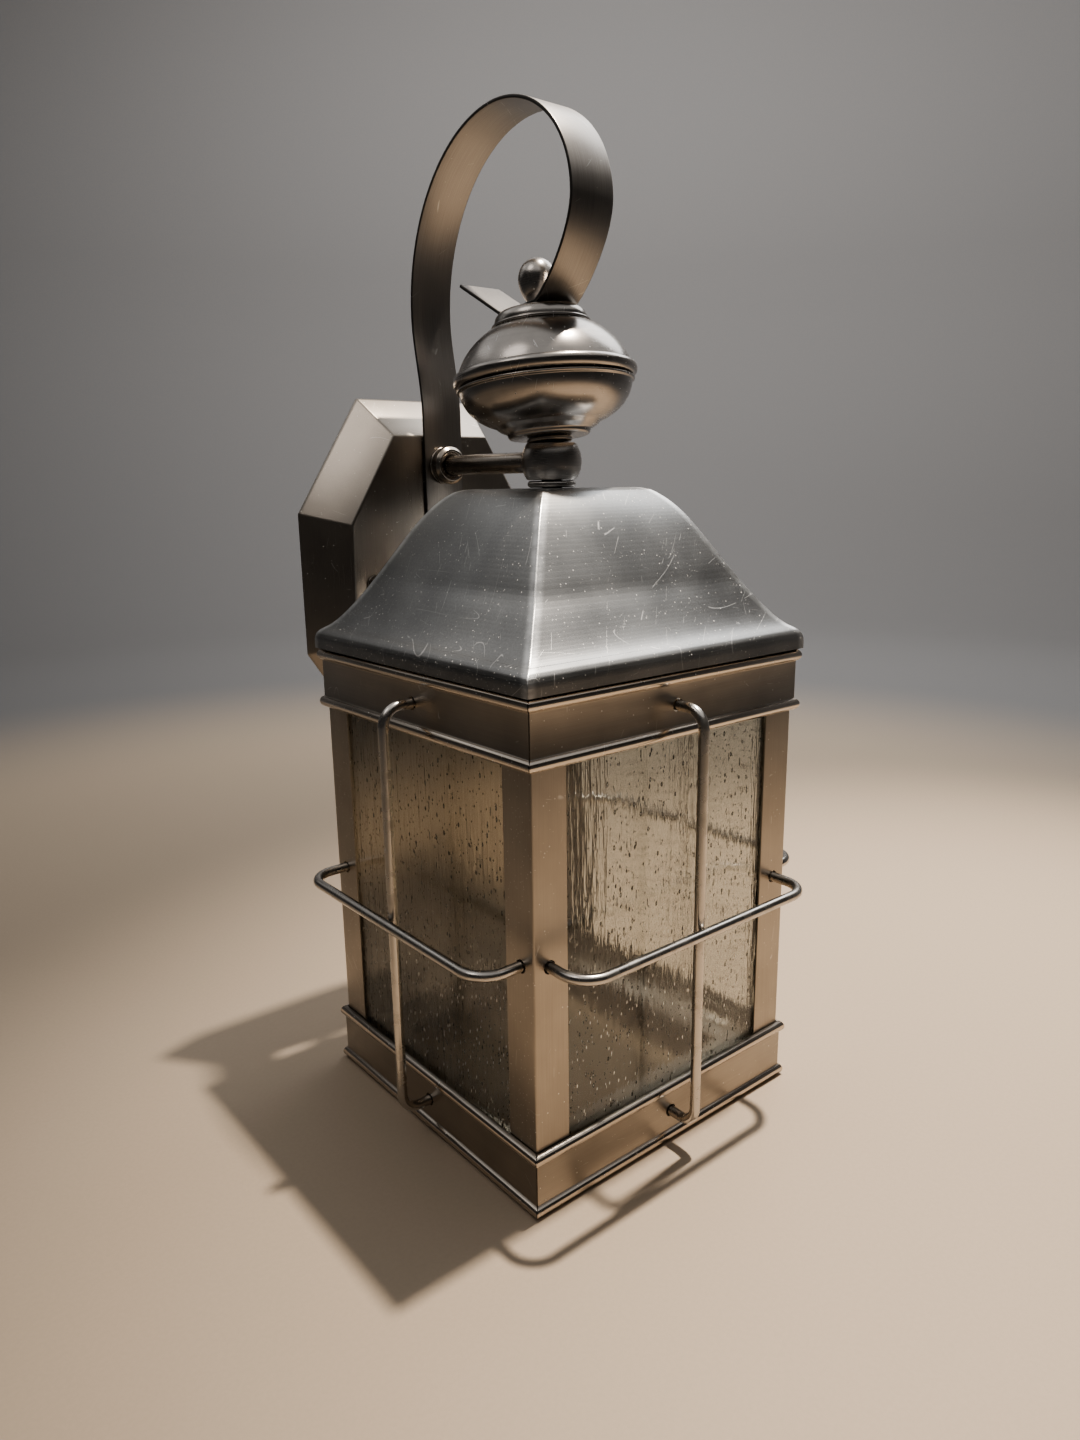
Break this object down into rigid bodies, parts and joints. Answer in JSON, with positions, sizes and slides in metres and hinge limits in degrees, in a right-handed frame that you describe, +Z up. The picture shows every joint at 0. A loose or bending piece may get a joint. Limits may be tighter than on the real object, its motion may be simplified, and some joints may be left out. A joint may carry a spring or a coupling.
{
  "type": "outdoor wall lantern",
  "caption": "Square glazed outdoor wall lantern with a bell roof, a spun finial, a scroll strap, wire guards and an octagonal wall plate.",
  "frame": {"origin": "middle of the wall plate, on the wall", "axes": "+Z up, +Y into the wall, -Y out from the wall toward the viewer, +X to the viewer's right"},
  "size_m": [0.2112, 0.2236, 0.4756],
  "materials": {
    "satin_nickel": "satin, drawn sheet",
    "roof_nickel": "satin, darker, fine scratches",
    "wire_nickel": "bright satin wire",
    "spun_nickel": "spun, semi-bright",
    "seeded_glass": "clear, seeded and watery",
    "zinc_steel": "zinc plated",
    "brass": "plain",
    "porcelain": "white glaze",
    "black_sleeve": "plain",
    "white_sleeve": "plain"
  },
  "bodies": {
    "lantern": {"corner_post_front_left": "satin_nickel", "corner_post_front_right": "satin_nickel", "corner_post_rear_right": "satin_nickel", "corner_post_rear_left": "satin_nickel", "top_band_front": "satin_nickel", "top_band_right": "satin_nickel", "top_band_rear": "satin_nickel", "top_band_left": "satin_nickel", "base_band_front": "satin_nickel", "base_band_right": "satin_nickel", "base_band_rear": "satin_nickel", "base_band_left": "satin_nickel", "pane_retainer_front": "satin_nickel", "pane_retainer_right": "satin_nickel", "pane_retainer_left": "satin_nickel", "back_panel": "satin_nickel", "pane_ledge": "satin_nickel", "top_frame": "satin_nickel", "scroll_strap": "satin_nickel", "arm_tube": "satin_nickel", "wall_plate": "satin_nickel", "roof_shell": "roof_nickel", "guard_upright_front": "wire_nickel", "guard_rail_front": "wire_nickel", "guard_upright_right": "wire_nickel", "guard_rail_right": "wire_nickel", "guard_upright_left": "wire_nickel", "guard_rail_left": "wire_nickel", "lower_neck_ring": "spun_nickel", "neck_ball": "spun_nickel", "upper_neck_ring": "spun_nickel", "finial_bowl": "spun_nickel", "finial_dome": "spun_nickel", "finial_cap": "spun_nickel", "arm_collar": "spun_nickel", "glass_pane_front": "seeded_glass", "glass_pane_right": "seeded_glass", "glass_pane_left": "seeded_glass", "threaded_pipe": "zinc_steel", "pipe_nut_frame": "zinc_steel", "pipe_nut_roof": "zinc_steel", "finial_stud": "zinc_steel", "arm_lock_nut": "zinc_steel", "wall_crossbar": "zinc_steel", "fixing_screw_left": "zinc_steel", "fixing_screw_right": "zinc_steel", "ground_screw": "brass", "lampholder_cap": "brass", "lampholder_screw_shell": "brass", "lampholder_centre_contact": "brass", "lampholder_insulator": "porcelain", "lead_line": "black_sleeve", "lead_neutral": "white_sleeve"},
    "acorn_washer": {"acorn_washer": "spun_nickel"},
    "acorn_nut": {"acorn_nut": "spun_nickel"},
    "fixing_washer_left": {"fixing_washer_left": "spun_nickel"},
    "cap_nut_left": {"cap_nut_left": "spun_nickel"},
    "fixing_washer_right": {"fixing_washer_right": "spun_nickel"},
    "cap_nut_right": {"cap_nut_right": "spun_nickel"}
  },
  "joints": [
    {"name": "acorn_turn", "type": "hinge", "parent": "lantern", "child": "acorn_washer", "pos_m": [0, -0.118, 0.0607], "axis": [0, 0.1045, 0.9945], "range_deg": [0, 2171]},
    {"name": "acorn_travel", "type": "slide", "parent": "acorn_washer", "child": "acorn_nut", "axis": [0, 0.1045, 0.9945], "range_m": [0, 0.006]},
    {"name": "cap_nut_left_turn", "type": "hinge", "parent": "lantern", "child": "fixing_washer_left", "pos_m": [-0.04445, -0.0265, 0], "axis": [0, -1, 0], "range_deg": [0, 2171]},
    {"name": "cap_nut_left_travel", "type": "slide", "parent": "fixing_washer_left", "child": "cap_nut_left", "axis": [0, -1, 0], "range_m": [0, 0.00476]},
    {"name": "cap_nut_right_turn", "type": "hinge", "parent": "lantern", "child": "fixing_washer_right", "pos_m": [0.04445, -0.0265, 0], "axis": [0, -1, 0], "range_deg": [0, 2171]},
    {"name": "cap_nut_right_travel", "type": "slide", "parent": "fixing_washer_right", "child": "cap_nut_right", "axis": [0, -1, 0], "range_m": [0, 0.00476]}
  ],
  "couplings": [
    {"joint": "acorn_turn", "follows": "acorn_travel", "rad_per_m": 6283.2},
    {"joint": "cap_nut_left_turn", "follows": "cap_nut_left_travel", "rad_per_m": 7915.8},
    {"joint": "cap_nut_right_turn", "follows": "cap_nut_right_travel", "rad_per_m": 7915.8}
  ]
}
